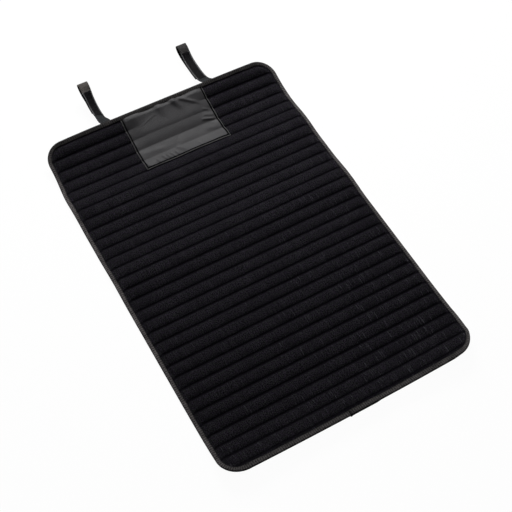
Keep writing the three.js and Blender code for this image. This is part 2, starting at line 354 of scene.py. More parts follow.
# The materials
def quilted_face_cloth(tree, place, x, s):
    """Brushed polyester knit, laminated to foam: a matt black nap with lengthwise threads and pale slubs."""
    # Threads are about 0.4 mm apart in the real cloth, drawn 2 mm wide here so that they show.
    thread_place = add_node(tree, "VectorMath", [place, (1 / 2.0, 1 / 40.0, 1.0)], operation="MULTIPLY")
    thread = add_node(tree, "TexNoise",
                      {"Vector": thread_place, "Scale": 1.0, "Detail": 2.0, "Roughness": 0.6})
    # Nap tufts, drawn at 2 mm, wear and stroke marks, 60 mm across, and patches where the dye takes, 5 mm
    nap, patch, dye = [add_node(tree, "TexNoise", {"Vector": place, "Scale": 1 / size, "Detail": detail})
                       for size, detail in ((2.0, 0.0), (60, 2.0), (5, 1.0))]
    # Slubs: single thick fibres 1 mm wide and up to 24 mm long, each in a cell of its own
    column = add_node(tree, "Math", [x], operation="FLOOR")
    start = add_node(tree, "TexWhiteNoise", {"W": column}, noise_dimensions="1D")
    lengths = add_node(tree, "Math", [s, 1 / 26, start], operation="MULTIPLY_ADD")
    row = add_node(tree, "Math", [lengths], operation="FLOOR")
    cell = add_node(tree, "CombineXYZ", [column, row])
    slub = add_node(tree, "TexWhiteNoise", {"Vector": cell}, noise_dimensions="2D")
    along = add_node(tree, "Math", [lengths, 0.5], operation="PINGPONG")
    tapered = add_node(tree, "MapRange", [along, 0.08, 0.25])
    # More of them show towards the lower right, where the mat is handled most.
    to_right = add_node(tree, "Math", [x, 0.0007, patch], operation="MULTIPLY_ADD")
    zone_weight = add_node(tree, "Math", [s, -0.0006, to_right], operation="MULTIPLY_ADD")
    level = add_node(tree, "MapRange", [zone_weight, 0.13, 0.68, 0.985, 0.88])
    over = add_node(tree, "Math", [slub, level], operation="SUBTRACT")
    share = add_node(tree, "Math", [over, 8.0], operation="MULTIPLY", use_clamp=True)
    form = add_node(tree, "Math", [share, tapered], operation="MULTIPLY")
    broken = add_node(tree, "Math", [form, nap], operation="MULTIPLY", use_clamp=True)
    # The groove of each quilting line is painted dark as its shade, centred just below its thread.
    groove_shade = seam_groove(tree, s, BOTTOM_MARGIN - 1.2, 4.9)
    threads = add_node(tree, "Math", [thread, 0.36], operation="MULTIPLY")
    fuzz = add_node(tree, "Math", [nap, 0.84, threads], operation="MULTIPLY_ADD")
    tone = add_node(tree, "MapRange", [fuzz, 0.49, 0.79])
    # The dye takes unevenly: violet black in some places and green black in others.
    hue = add_node(tree, "MapRange", [dye, 0.35, 0.65])
    light_nap = add_node(tree, "Mix", {0: hue, 6: "#2f2a34", 7: "#2a2c2b"})
    paling = add_node(tree, "MapRange", [patch, 0.3, 0.7, 0.0, 0.35])
    cloth = layered(tree, "#0c0b0e", [(tone, light_nap), (paling, "#131216"), (broken, "#545359"),
                                      (groove_shade, "#0a090d")])
    height = add_node(tree, "Math", [broken, 0.5, fuzz], operation="MULTIPLY_ADD")
    return surface(tree, cloth, height, 0.8, 0.0005)


def backing_cloth(tree, place, x, s):
    """Plain woven polyester underneath: a fine even weave, drawn 1.6 mm coarse so that it shows."""
    weave = woven(tree, x, s, 1.6)
    fade = add_node(tree, "TexNoise", {"Vector": place, "Scale": 1 / 25, "Detail": 4.0})
    tone = add_node(tree, "Math", [weave, 0.25, fade], operation="MULTIPLY_ADD", use_clamp=True)
    # Painted shade darkens the backing along the groove of each quilting line, which also sinks in the bump.
    groove_shade = seam_groove(tree, s, BOTTOM_MARGIN, 3.0)
    cloth = layered(tree, "#17181a", [(tone, "#2a2b2e"), (groove_shade, "#0c0c0e")])
    height = add_node(tree, "Math", [groove_shade, -3.0, weave], operation="MULTIPLY_ADD")
    return surface(tree, cloth, height, 0.6, 0.0003)


def foam_core(tree, place, x, s):
    """Cut polyethylene foam: grey, with fine open cells."""
    cells = add_node(tree, "TexVoronoi", {"Vector": place, "Scale": 1 / 1.2}, voronoi_dimensions="2D")
    tone = add_node(tree, "Mix", {0: cells, 6: "#7c7c79", 7: "#a2a29e"})
    return surface(tree, tone, cells, 0.5, 0.0003)


def ribbed_tape(tree, place, x, s):
    """Woven grosgrain tape in polyester: ribs across it, a dull warm grey, and corded edges."""
    # The real ribs are about 1 mm apart, drawn at 5 mm so that they show.
    rib = wave(tree, x, 5.0)
    fibre_place = add_node(tree, "VectorMath", [place, (1 / 2.4, 1 / 3.2, 1.0)], operation="MULTIPLY")
    fibre = add_node(tree, "TexNoise", {"Vector": fibre_place, "Scale": 1.0, "Detail": 3.0})
    marks = add_node(tree, "TexNoise", {"Vector": place, "Scale": 1 / 22, "Detail": 2.0})
    ribs = add_node(tree, "Math", [rib, 0.16, fibre], operation="MULTIPLY_ADD")
    uneven = add_node(tree, "Math", [marks, 0.35, ribs], operation="MULTIPLY_ADD")
    # Only its top face is painted pale as if lit, and the fold round the rim stays dark as painted shade; the
    # top face is paler along the bottom and the sides than along the top edge.
    lit_and_rubbed = add_node(tree, "Attribute", attribute_name="lit_and_rubbed")
    rib_tone = add_node(tree, "MapRange", [uneven, 0.40, 0.95])
    tone = add_node(tree, "Math", [rib_tone, lit_and_rubbed.outputs["Fac"]], operation="MULTIPLY", use_clamp=True)
    # Its cut end on the bottom edge is sealed dark, and the near black there is also painted shade along the
    # lapped cut end.
    cut = add_node(tree, "MapRange", [x, 1.2, 3.0, 1.0, 0.0])
    tape = layered(tree, "#0a0a0a", [(tone, "#605c5c"), (cut, "#050505")])
    return surface(tree, tape, ribs, 0.9, 0.0004)


def coated_cloth(tree, place, x, s):
    """Polyurethane-coated polyester: a smooth dark grey skin with a soft gloss and a faint weave under it."""
    # The real weave is about 0.3 mm, drawn at 1.2 mm so that it shows.
    weave = woven(tree, x, s, 1.2)
    zone_weight = add_node(tree, "TexNoise", {"Vector": place, "Scale": 1 / 18, "Detail": 3.0})
    # The hem's folded edge is painted paler: a painted highlight along the fold, with some wear.
    hem = add_node(tree, "Attribute", attribute_name="hem")
    lit_and_rubbed = add_node(tree, "MapRange", [hem.outputs["Fac"], 1.3, 1.9, 0.85, 0.0])
    cloth = layered(tree, "#242325", [(zone_weight, "#2f2e30"), (lit_and_rubbed, "#4c4c4c")])
    gloss = add_node(tree, "MapRange", [zone_weight, 0.3, 0.7, 0.44, 0.56])
    height = add_node(tree, "Math", [zone_weight, 3.0, weave], operation="MULTIPLY_ADD")
    return {**surface(tree, cloth, height, 0.35, 0.0002), "Roughness": gloss}


def hem_shade_cloth(tree, place, x, s):
    """Coated polyester along the hem's stitching, painted near black and matt as the shade in the valley
    there.
    """
    mottle = add_node(tree, "TexNoise", {"Vector": place, "Scale": 1 / 2.0, "Detail": 2.0})
    tone = add_node(tree, "Mix", {0: mottle, 6: "#040405", 7: "#141415"})
    return {"Base Color": tone}


def strap_webbing(tree, place, x, s):
    """Woven nylon webbing: a blue-grey herringbone, drawn with 2 mm ridges so that it shows."""
    folded = add_node(tree, "Math", [x, 4.2], operation="PINGPONG")
    slant = add_node(tree, "Math", [s, folded], operation="ADD")
    ridges = wave(tree, slant, 2.0)
    fibre = add_node(tree, "TexNoise", {"Vector": place, "Scale": 1 / 1.1, "Detail": 3.0})
    tone = add_node(tree, "Math", [ridges, 0.3, fibre], operation="MULTIPLY_ADD", use_clamp=True)
    # It is painted pale and warm at the fold, a painted sheen with some wear, and its inner face is painted
    # black as the shade inside the loop.
    pale = add_node(tree, "Mix", {0: tone, 6: "#2e2b29", 7: "#5e5955"})
    paling = add_node(tree, "Attribute", attribute_name="paling")
    loop_shade = add_node(tree, "Attribute", attribute_name="loop_shade")
    cloth = layered(tree, "#0a0b0d", [(tone, "#1f2124"), (paling.outputs["Fac"], pale),
                                      (loop_shade.outputs["Fac"], "#070708")])
    height = add_node(tree, "Math", [ridges, 0.6, fibre], operation="MULTIPLY_ADD")
    return surface(tree, cloth, height, 0.8, 0.0003)


def tape_ground(tree, place, x, s, field, edge):
    """Woven nylon ground of a hook or pile tape: its black middle and its greyer plain edges, 3 mm wide."""
    off_middle = add_node(tree, "Math", [x], operation="ABSOLUTE")
    selvage = add_node(tree, "MapRange", [off_middle, 8.9, 9.4])
    pick = wave(tree, s, 1.8)
    fibre = add_node(tree, "TexNoise", {"Vector": place, "Scale": 1 / 0.9, "Detail": 2.0})
    weave = add_node(tree, "Math", [pick, 0.3, fibre], operation="MULTIPLY_ADD")
    middle = add_node(tree, "Mix", {0: fibre, 6: "#0b0b0c", 7: field})
    sides = add_node(tree, "Mix", {0: weave, 6: "#1c1c1e", 7: edge})
    both = add_node(tree, "Mix", {0: selvage, 6: middle, 7: sides})
    return surface(tree, both, weave, 0.7, 0.0003)


def spun_thread(name, dark, light, roughness):
    """Polyester sewing thread: its tone shifts from stitch to stitch as the ply turns."""
    made = bpy.data.materials.new(name)
    tree = blank_tree(made)
    place = add_node(tree, "TexCoord")
    ply = add_node(tree, "TexNoise", {"Vector": place.outputs["Object"], "Scale": 900.0, "Detail": 1.0},
                   noise_dimensions="3D")
    tone = add_node(tree, "Mix", {0: ply, 6: dark, 7: light})
    shader = add_node(tree, "BsdfPrincipled", {"Roughness": roughness, "Specular IOR Level": 0.15,
                                               **surface(tree, tone, ply, 0.5, 0.0001)})
    add_node(tree, "OutputMaterial", {"Surface": shader})
    return made


FACE_CLOTH = cloth_material("brushed polyester knit", quilted_face_cloth, 0.95, 0.02)
BACKING_CLOTH = cloth_material("plain woven polyester", backing_cloth, 0.85, 0.1)
FOAM = cloth_material("cut polyethylene foam", foam_core, 0.95, 0.25)
TAPE = cloth_material("woven grosgrain tape", ribbed_tape, 0.8, 0.1,
                      {"Sheen Weight": 0.03, "Sheen Roughness": 0.5})
COATED = cloth_material("coated polyester", coated_cloth, 0.5, 0.24, {"IOR": 1.48})
HEM_SHADE = cloth_material("coated polyester painted with shade under stitching", hem_shade_cloth, 0.95, 0.02)
STRAPPING = cloth_material("woven nylon webbing", strap_webbing, 0.65, 0.15,
                           {"Sheen Weight": 0.03, "Sheen Roughness": 0.4})
# The pile tape's plain edges are greyer, and painted paler still, #6a6a6b, as a highlight along them.
PILE_GROUND = cloth_material("woven nylon pile tape", tape_ground, 0.75, 0.12, colours=("#131115", "#6a6a6b"))
HOOK_GROUND = cloth_material("woven nylon hook tape", tape_ground, 0.75, 0.12, colours=("#161617", "#101011"))
PILE_LOOPS = spun_thread("brushed nylon loops", "#0d0b0e", "#201d22", 0.9)
HOOK_NYLON = spun_thread("moulded nylon hooks", "#1c1c1e", "#343437", 0.4)
BLACK_THREAD = spun_thread("black polyester thread", "#060607", "#141416", 0.7)
GREY_THREAD = spun_thread("grey polyester thread", "#454443", "#777573", 0.6)
TAPE_THREAD = spun_thread("dark polyester thread", "#1c1a19", "#3b3734", 0.7)


# Geometry Nodes for what repeats
def begin_tree(name, sizes):
    """A node tree that takes a mesh, named sizes and a material."""
    tree = bpy.data.node_groups.new(name, "GeometryNodeTree")
    tree.interface.new_socket(name="Mesh", in_out="INPUT", socket_type="NodeSocketGeometry")
    for size in sizes:
        tree.interface.new_socket(name=size, in_out="INPUT", socket_type="NodeSocketFloat")
    tree.interface.new_socket(name="Material", in_out="INPUT", socket_type="NodeSocketMaterial")
    tree.interface.new_socket(name="Mesh", in_out="OUTPUT", socket_type="NodeSocketGeometry")
    return tree, add_node(tree, "NodeGroupInput").outputs[:len(sizes) + 2]


def end_tree(tree, instances, material):
    """Turn the instances into one smooth mesh with the given material."""
    real = add_node(tree, "GeometryNodeRealizeInstances", [instances])
    dressed = add_node(tree, "GeometryNodeSetMaterial", {"Geometry": real, "Material": material})
    add_node(tree, "NodeGroupOutput", [add_node(tree, "GeometryNodeSetShadeSmooth", [dressed])])
    return tree


def stitch_tree():
    """Stitches of sewing thread along lines of edges."""
    tree, given = begin_tree("sewn stitches", ["Pitch", "Stitch length", "Thread width"])
    lines, pitch, length, width, material = given
    line = add_node(tree, "GeometryNodeMeshToCurve", [lines])
    points = add_node(tree, "GeometryNodeResampleCurve", {"Curve": line, "Length": pitch}, mode="LENGTH")
    ahead = add_node(tree, "GeometryNodeInputTangent")
    turn = add_node(tree, "FunctionNodeAlignRotationToVector", {"Vector": ahead}, axis="X")
    bead = add_node(tree, "GeometryNodeMeshUVSphere", {"Segments": 5, "Rings": 4, "Radius": 0.5})
    size = add_node(tree, "CombineXYZ", [length, width, width])
    stitches = add_node(tree, "GeometryNodeInstanceOnPoints",
                        {"Points": points, "Instance": bead, "Rotation": turn, "Scale": size})
    return end_tree(tree, stitches, material)


def bent_yarn(tree, start, middle, end, sides, thickness):
    """A yarn or wire of round section along a bent curve, with both of its ends capped."""
    curve = add_node(tree, "GeometryNodeCurveQuadraticBezier",
                     {"Resolution": 4, "Start": start, "Middle": middle, "End": end})
    ring = add_node(tree, "GeometryNodeCurvePrimitiveCircle", {"Resolution": sides, "Radius": thickness})
    return add_node(tree, "GeometryNodeCurveToMesh",
                    {"Curve": curve, "Profile Curve": ring, "Fill Caps": True})


def loop_tree():
    """Pile loops scattered over a face, each an arch of yarn that leans its own way."""
    tree, given = begin_tree("pile loops", ["Spacing", "Loop height", "Yarn width"])
    face_mesh, spacing, height, width, material = given
    points = add_node(tree, "GeometryNodeDistributePointsOnFaces",
                      {"Mesh": face_mesh, "Distance Min": spacing, "Density Max": 2500000.0, "Seed": 7},
                      distribute_method="POISSON")
    back, reach, peak = [add_node(tree, "Math", [height, share], operation="MULTIPLY")
                         for share in (-0.55, 0.55, 2.0)]
    start, middle, end = [add_node(tree, "CombineXYZ", {axis: way})
                          for axis, way in ((0, back), (2, peak), (0, reach))]
    yarn = bent_yarn(tree, start, middle, end, 3, width)
    lean = add_node(tree, "FunctionNodeRandomValue",
                    {0: (-0.5, -0.5, 0.0), 1: (0.5, 0.5, math.tau), "Seed": 3}, data_type="FLOAT_VECTOR")
    lean_turn = add_node(tree, "FunctionNodeEulerToRotation", [lean])
    stand = add_node(tree, "FunctionNodeRotateRotation", [points.outputs["Rotation"], lean_turn],
                     rotation_space="LOCAL")
    loops = add_node(tree, "GeometryNodeInstanceOnPoints",
                     {"Points": points, "Instance": yarn, "Rotation": stand})
    return end_tree(tree, loops, material)


def hook_tree():
    """Rows of small nylon hooks, standing on a face's corner points and leaning along the tape."""
    tree, (corners, height, width, material) = begin_tree("nylon hooks", ["Hook height", "Hook width"])
    points = add_node(tree, "GeometryNodeMeshToPoints", {"Mesh": corners})
    reach, half, peak = [add_node(tree, "Math", [height, share], operation="MULTIPLY")
                         for share in (0.8, 0.5, 1.6)]
    middle = add_node(tree, "CombineXYZ", {2: peak})
    end = add_node(tree, "CombineXYZ", {0: reach, 2: half})
    hook = bent_yarn(tree, (0.0, 0.0, 0.0), middle, end, 4, width)
    up = add_node(tree, "GeometryNodeInputNamedAttribute", {"Name": "facing"}, data_type="FLOAT_VECTOR")
    stand = add_node(tree, "FunctionNodeAlignRotationToVector", {"Vector": up}, axis="Z")
    along = add_node(tree, "FunctionNodeAlignRotationToVector",
                     {"Rotation": stand, "Vector": (0.0, -1.0, 0.0)}, axis="X", pivot_axis="Z")
    hooks = add_node(tree, "GeometryNodeInstanceOnPoints",
                     {"Points": points, "Instance": hook, "Rotation": along})
    return end_tree(tree, hooks, material)


STITCHES = stitch_tree()
LOOPS = loop_tree()
HOOKS = hook_tree()


def grow(name, base, tree, material, sizes):
    """Run a node tree on a mesh and keep the result as a plain mesh."""
    modifier = base.modifiers.new("grow", "NODES")
    modifier.node_group = tree
    given = dict(sizes, Material=material)
    for item in tree.interface.items_tree:
        if item.in_out == "INPUT" and item.name in given:
            modifier[item.identifier] = given[item.name]
    grown = base.evaluated_get(bpy.context.evaluated_depsgraph_get())
    mesh = bpy.data.meshes.new_from_object(grown)
    mesh.name = name
    bpy.data.objects.remove(base)
    return placed(name, mesh)


def sewn(name, lines, material, pitch=3.6, length=2.9, width=0.5):
    """A row of stitches along each line of points, in millimetres."""
    points = np.concatenate(lines)
    edges = []
    start = 0
    for line in lines:
        edges += [(start + step, start + step + 1) for step in range(len(line) - 1)]
        start += len(line)
    base = new_piece(name + "_line", points, [], edges=edges)
    sizes = {"Pitch": pitch / 1000, "Stitch length": length / 1000, "Thread width": width / 1000}
    return grow(name, base, STITCHES, material, sizes)


# The quilted face, blown up by a cloth simulation while it still lies flat
FACE_SHARES = [0, 0.035, 0.10, 0.21, 0.35, 0.5, 0.65, 0.79, 0.90, 0.965]


def blow_up(x, s, h, held, pressure, slack, frames):
    """Simulate a flat-lying cloth of the given heights, held at some points, under a pressure from below."""
    flat_points = np.stack([x, s, h], -1)
    cloth_piece = new_piece("blown_cloth", flat_points, grid_faces(*x.shape).tolist())
    group = cloth_piece.vertex_groups.new(name="held")
    group.add(np.flatnonzero(held.ravel()).tolist(), 1.0, "REPLACE")
    cloth = cloth_piece.modifiers.new("Cloth", "CLOTH")
    settings = {"quality": 4, "mass": 0.02, "tension_stiffness": 20, "compression_stiffness": 20,
                "shear_stiffness": 5, "bending_stiffness": 0.05, "use_pressure": True,
                "uniform_pressure_force": pressure, "vertex_group_mass": "held", "shrink_min": -slack}
    for name, value in settings.items():
        setattr(cloth.settings, name, value)
    cloth.settings.effector_weights.gravity = 0
    cloth.collision_settings.use_collision = False
    cloth.point_cache.frame_start = 1
    cloth.point_cache.frame_end = frames
    scene = bpy.context.scene
    for step in range(1, frames + 1):
        scene.frame_set(step)
    blown = cloth_piece.evaluated_get(bpy.context.evaluated_depsgraph_get())
    found = np.zeros(flat_points.size)
    blown.data.vertices.foreach_get("co", found)
    bpy.data.objects.remove(cloth_piece)
    scene.frame_set(1)
    return found.reshape(flat_points.shape) * 1000 - flat_points


def in_panel(x, s, grow_by):
    """1 under the panel and 0 away from it."""
    side = smooth(np.abs(x) - PANEL_HALF_WIDTH - grow_by, 8, 0)
    return side * smooth(s, PANEL_END - 10 - grow_by, PANEL_END - grow_by)


flat_x, flat_s = mat_grid(FACE_SHARES, 90, 1.0)
face_x, face_s = flat_x, flat_s
face_h = foam_top(flat_x, flat_s, puff(flat_s)) + FACE_OVER_FOAM
near_seam = off_line(flat_s, CHANNEL_EDGES)
random_lie = np.random.default_rng(4).normal(0, 0.05, face_h.shape)
held = (near_seam < 0.01) | (fullness(face_x, face_s) < 0.02)
moved = blow_up(face_x, face_s, face_h + random_lie * ~held, held, pressure=60.0, slack=0.012, frames=18)
# Only its small creases are kept, so that it stays over the foam and under the panel.
most_up = 0.9 - 0.8 * in_panel(face_x, face_s, 4)
face_h = face_h + np.clip(moved[..., 2], -0.8, most_up)
face_x = face_x + np.clip(moved[..., 0], -1.5, 1.5)
face_s = face_s + np.clip(moved[..., 1], -1.5, 1.5)
# The thread pulls the cloth down into a narrow groove.
GROOVE_DEPTH, GROOVE_REACH = 0.75, 1.5
face_h = face_h - GROOVE_DEPTH * np.exp(-(near_seam / GROOVE_REACH) ** 2) * fullness(face_x, face_s)
face_h = np.maximum(face_h, foam_upper(face_x, face_s) + FACE_THICKNESS + 0.05)
face_low = face_h - FACE_THICKNESS
face = closed_sheet("face_cloth", face_x, face_s, face_h, face_low, FACE_CLOTH, (flat_x, flat_s))

# The foam and the backing
foam_x, foam_s = mat_grid([0, 0.06, 0.2, 0.35, 0.5, 0.65, 0.8, 0.94], 40, 1.4)
foam_low = backing_bottom(foam_x, foam_s) + FOAM_BASE
foam = closed_sheet("foam_core", foam_x, foam_s, foam_upper(foam_x, foam_s), foam_low, FOAM)

SEAM_DIP = 0.28
back_x, back_s = mat_grid([0, 0.05, 0.3, 0.7, 0.95], 50, 1.0)
dip = SEAM_DIP * np.exp(-(off_line(back_s, SEAMS) / 2.2) ** 2) * fullness(back_x, back_s)
back_h = backing_bottom(back_x, back_s) + dip
backing = closed_sheet("backing_cloth", back_x, back_s, back_h + BACKING_THICKNESS, back_h, BACKING_CLOTH)


# The folded tape round the rim
LAP_START = -23
LAP_END = 40
LAP_LENGTH = LAP_END - LAP_START


def rim_path(step):
    """Stations round the outline, each a place and the way outwards, from the lap on the bottom edge."""
    half = MAT_WIDTH / 2
    inner_x = half - CORNER_RADIUS
    top = MAT_LENGTH - CORNER_RADIUS
    # Each straight run with its way outwards, and the middle and first angle of the corner after it
    runs = [((LAP_START, 0), (inner_x, 0), (0, -1), (inner_x, CORNER_RADIUS, -90)),
            ((half, CORNER_RADIUS), (half, top), (1, 0), (inner_x, top, 0)),
            ((inner_x, MAT_LENGTH), (-inner_x, MAT_LENGTH), (0, 1), (-inner_x, top, 90)),
            ((-half, top), (-half, CORNER_RADIUS), (-1, 0), (-inner_x, CORNER_RADIUS, 180)),
            ((-inner_x, 0), (LAP_END, 0), (0, -1), None)]
    turns = round(CORNER_RADIUS * math.pi / 2 / step)
    found = []
    for start, end, way, corner in runs:
        count = max(2, round(math.dist(start, end) / step))
        for part in range(count):
            share = part / count
            found.append([start[axis] + (end[axis] - start[axis]) * share for axis in (0, 1)] + list(way))
        for part in range(turns if corner else 0):
            angle = math.radians(corner[2] + 90 * part / turns)
            out = (math.cos(angle), math.sin(angle))
            found.append((corner[0] + CORNER_RADIUS * out[0], corner[1] + CORNER_RADIUS * out[1], *out))
    return np.array(found + [(LAP_END, 0, 0, -1)])


# The tape's section, as the way in from the mat's edge and the height over its underside
TAPE_OUTSIDE = np.array([(10, 0), (7, 0), (4, 0), (1.5, 0), (0.2, 0.1), (-0.6, 0.55), (-1.1, 1.4),
                         (-1.25, 2.5), (-1.2, 3.7), (-0.95, 4.5), (-0.3, 5.05), (1.0, 5.3), (3.4, 5.35),
                         (6, 5.25), (8.2, 5.1), (9.6, 4.95), (10.1, 4.7)])
TAPE_INSIDE = np.array([(10, 4.2), (7, 4.35), (4, 4.45), (1.6, 4.4), (0.4, 4.0), (-0.25, 3.3), (-0.4, 2.5),
                        (-0.3, 1.7), (0.2, 1.05), (1.5, 0.82), (4, 0.8), (7, 0.8), (10, 0.8)])
section = np.concatenate([TAPE_OUTSIDE, TAPE_INSIDE])
section_in, section_height = section.T
station_x, station_s, out_x, out_s = rim_path(2.6).T
tape_run = run_along(np.stack([station_x, station_s], -1))
tape_end = tape_run[-1]
# The way square to the section at each of its points: on its inside, that of the nearest outside point
ahead = np.roll(TAPE_OUTSIDE, -1, 0) - np.roll(TAPE_OUTSIDE, 1, 0)
square = np.stack([-ahead[:, 1], ahead[:, 0]], -1)
square[:4] = (0, -1)
square[-5:] = (0, 1)
nearest = [np.hypot(*(TAPE_OUTSIDE - point).T).argmin() for point in TAPE_INSIDE]
square = np.concatenate([square, square[nearest]])
square /= np.linalg.norm(square, axis=1, keepdims=True)
# The tape's cut end lies over its start and stands off a little.
lap = smooth(tape_run, LAP_LENGTH + 9, LAP_LENGTH) * 1.05 + 0.9 * smooth(tape_run, 9, 0)
# It rises over the panel, whose cloth goes under it.
PANEL_RISE = 0.9
near_panel = smooth(np.abs(station_x), PANEL_HALF_WIDTH + 16, PANEL_HALF_WIDTH + 5)
over_panel = (station_s > MAT_LENGTH - 1) * near_panel
on_top = ((section_height > 4) & (section_in > 0)) * PANEL_RISE
hand = np.random.default_rng(11)
waver = np.interp(tape_run, np.linspace(0, tape_end, 130), hand.normal(0, 0.35, 130))
# It reaches a little less far in along the two sides and the top edge.
reach = 1 - 0.24 * np.abs(out_x) - 0.1 * np.maximum(out_s, 0)
upper_leg = (section_in > 2) & (section_height > 4)
inwards = section_in * np.where(upper_leg, reach[:, None], 1) + square[:, 0] * lap[:, None]
inwards = inwards + (section_in > 6) * (section_height > 2) * waver[:, None]
heights = section_height + square[:, 1] * lap[:, None] + on_top * over_panel[:, None]
tape_x = station_x[:, None] - out_x[:, None] * inwards
tape_s = station_s[:, None] - out_s[:, None] * inwards
width_run = run_along(section)
tape_flat = np.stack(np.broadcast_arrays(tape_run[:, None], width_run[None, :]), -1)
rings = on_mat(tape_x, tape_s, heights)
rings[..., 2] = np.maximum(rings[..., 2], 0.02)
binding = swept_band("binding_tape", rings, tape_flat, TAPE)
# The tape's top face is painted pale as if lit and the rest is left dark as painted shade, paler along the
# sides and the bottom than along the top edge, and uneven along its run.
side_paleness = np.where(out_x < 0, 0.98, 1.12) * out_x ** 2 + np.where(out_s < 0, 0.62, 0.4) * out_s ** 2
side_paleness = side_paleness * (1 + np.interp(tape_run, np.linspace(0, tape_end, 160), hand.normal(0, 0.14, 160)))
top_face = smooth(width_run, 14.2, 16.2) * smooth(width_run, 25.8, 24.8)
mark(binding, "lit_and_rubbed", side_paleness[:, None] * (0.12 + 0.88 * top_face))


# The panel of coated cloth
def ridge(x, s, start, end, width, height, lean=1.5, steady=0.7):
    """A fold in the cloth: a ridge between two places, wider on its left, that runs out at both ends."""
    run = np.array(end, float) - np.array(start, float)
    length = np.hypot(*run)
    along_share = ((x - start[0]) * run[0] + (s - start[1]) * run[1]) / length ** 2
    off = ((x - start[0]) * run[1] - (s - start[1]) * run[0]) / length
    ends = smooth(along_share, -0.15, 0.25) * smooth(along_share, 1.15, steady)
    return height * ends * np.exp(-(off / np.where(off < 0, width * lean, width)) ** 2)


# Each fold's start, end, width and height, and for some its lean and how far along it starts to run out
TOP_GATHERS = [((29, 901), (45, 861), 7.5, 5.2, 0.7, 0.1), ((40, 896), (92, 857), 3.6, 2.0, 1.2),
               ((-10, 902), (0, 860), 8.0, 3.4, 1.4, 0.1), ((-74, 902), (-70, 862), 25.0, 4.2, 0.8, 0.1),
               ((88, 902), (86, 864), 22.0, 2.4, 1.0, 0.1), ((-62, 860), (-20, 876), 1.6, 0.5, 1.0)]
SIDE_PULLS = [((88, 842), (111, 830), 2.6, 1.3, 1.2), ((84, 826), (110, 817), 4.0, 1.1, 1.3),
              ((76, 816), (108, 806), 2.4, 2.6)]
HEM_RIPPLES = [((-12, 776), (4, 755), 4.5, 1.9), ((-97, 763), (-92, 750), 2.0, 1.3),
               ((-70, 764), (-65, 750), 2.0, 1.3), ((-53, 767), (-48, 751), 2.2, 1.6),
               ((-43, 765), (-38, 750), 2.0, 1.5), ((-33, 766), (-28, 750), 2.0, 1.6),
               ((-21, 765), (-17, 750), 2.0, 1.4), ((40, 764), (43, 750), 2.0, 0.8),
               ((70, 792), (108, 779), 5.0, 0.8), ((-90, 794), (-30, 786), 6.0, 0.8, 1.0)]
EDGE_STEPS = [0, 0.4, 0.9, 1.4, 1.9, 2.4, 3.0, 3.6, 4.2, 4.8, 5.6, 6.6]
PANEL_ACROSS = 217
PANEL_LENGTH = MAT_LENGTH - 3 - PANEL_END
PANEL_LEFT = -102
PANEL_THICKNESS = 0.6
HEM_THICKNESS = 0.45
inner_steps = np.linspace(8, PANEL_ACROSS - 8, 112).tolist()
far_steps = [PANEL_ACROSS - step for step in reversed(EDGE_STEPS)]
across = np.array(EDGE_STEPS + inner_steps + far_steps) / PANEL_ACROSS
along = np.array(EDGE_STEPS + np.linspace(8, PANEL_LENGTH, 82).tolist()) / PANEL_LENGTH
cut_s = PANEL_END + PANEL_LENGTH * along[:, None] + 0 * across[None, :]
down = (MAT_LENGTH - cut_s) / (MAT_LENGTH - PANEL_END)
right_side = 112.8 + 3.2 * down
cut_x = PANEL_LEFT + (right_side - PANEL_LEFT) * across[None, :]
side_in = np.minimum(cut_x - PANEL_LEFT, right_side - cut_x)
hem_in = np.minimum(side_in, cut_s - PANEL_END)
# The bottom right corner of the hem is pushed out a little, and its edges aren't quite straight.
poke = np.exp(-((cut_x - 117) ** 2 + (cut_s - PANEL_END) ** 2) / 14 ** 2)
panel_s = cut_s - 1.8 * poke + 0.5 * np.sin(cut_x / 17) * np.exp(-(cut_s - PANEL_END) / 12)
panel_x = cut_x + 0.45 * np.sin(panel_s / 13) * np.exp(-side_in / 9)
# The quilting lines show through it: strongly at its lower end, and only near its sides at the top.
dip = 0.34 * smooth(panel_s, 866, 812) + (0.3 + 0.4 * smooth(panel_s, 840, 860)) * np.exp(-side_in / 18)
across_channel = 2 * channel_way(panel_s + 0.6) - 1
panel_loft = np.maximum(1 - dip * across_channel ** 2, puff(panel_s) - 0.05)
# It bulges a little, and spans from the top channel's crown to the tape, which grips it.
from_top = MAT_LENGTH - panel_s
gripped = smooth(from_top, RIM_WIDTH - 1.7, 18)
panel_low = backing_bottom(panel_x, panel_s) + 3.25 + gripped * FOAM_SWELL * panel_loft
raised = sum(ridge(panel_x, panel_s, *fold) for fold in TOP_GATHERS + SIDE_PULLS + HEM_RIPPLES)
raised = raised + 4.2 * swell(panel_s, 843, 54) * smooth(side_in, 0, 45)
panel_low = panel_low + smooth(hem_in, 3, 9) * smooth(from_top, 4, 12) * raised
# Its hem is folded double, rounded at the edge, and drawn down by its stitching.
hem = smooth(hem_in, 2.2, 1.6)
stitch_groove = np.exp(-((hem_in - 3.6) / 1.4) ** 2) * 0.55 * smooth(from_top, 9, 12)
round_edge = smooth(hem_in, 0.9, 0.0) * 0.45
panel_high = panel_low + PANEL_THICKNESS + HEM_THICKNESS * hem - stitch_groove - round_edge
panel = closed_sheet("coated_panel", panel_x, panel_s, panel_high, panel_low, COATED, (cut_x, cut_s))
mark(panel, "hem", np.concatenate([hem_in.ravel(), hem_in.ravel()]))
# The valley along the hem's stitching gets a near-black matt material: painted shade.
panel.data.materials.append(HEM_SHADE)
face_in = (hem_in[:-1, :-1] + hem_in[1:, 1:]) / 2
hem_shaded = np.zeros(len(panel.data.polygons), dtype=np.int32)
hem_shaded[:face_in.size] = ((face_in > 1.6) & (face_in < 5.9)).ravel()
panel.data.polygons.foreach_set("material_index", hem_shaded)


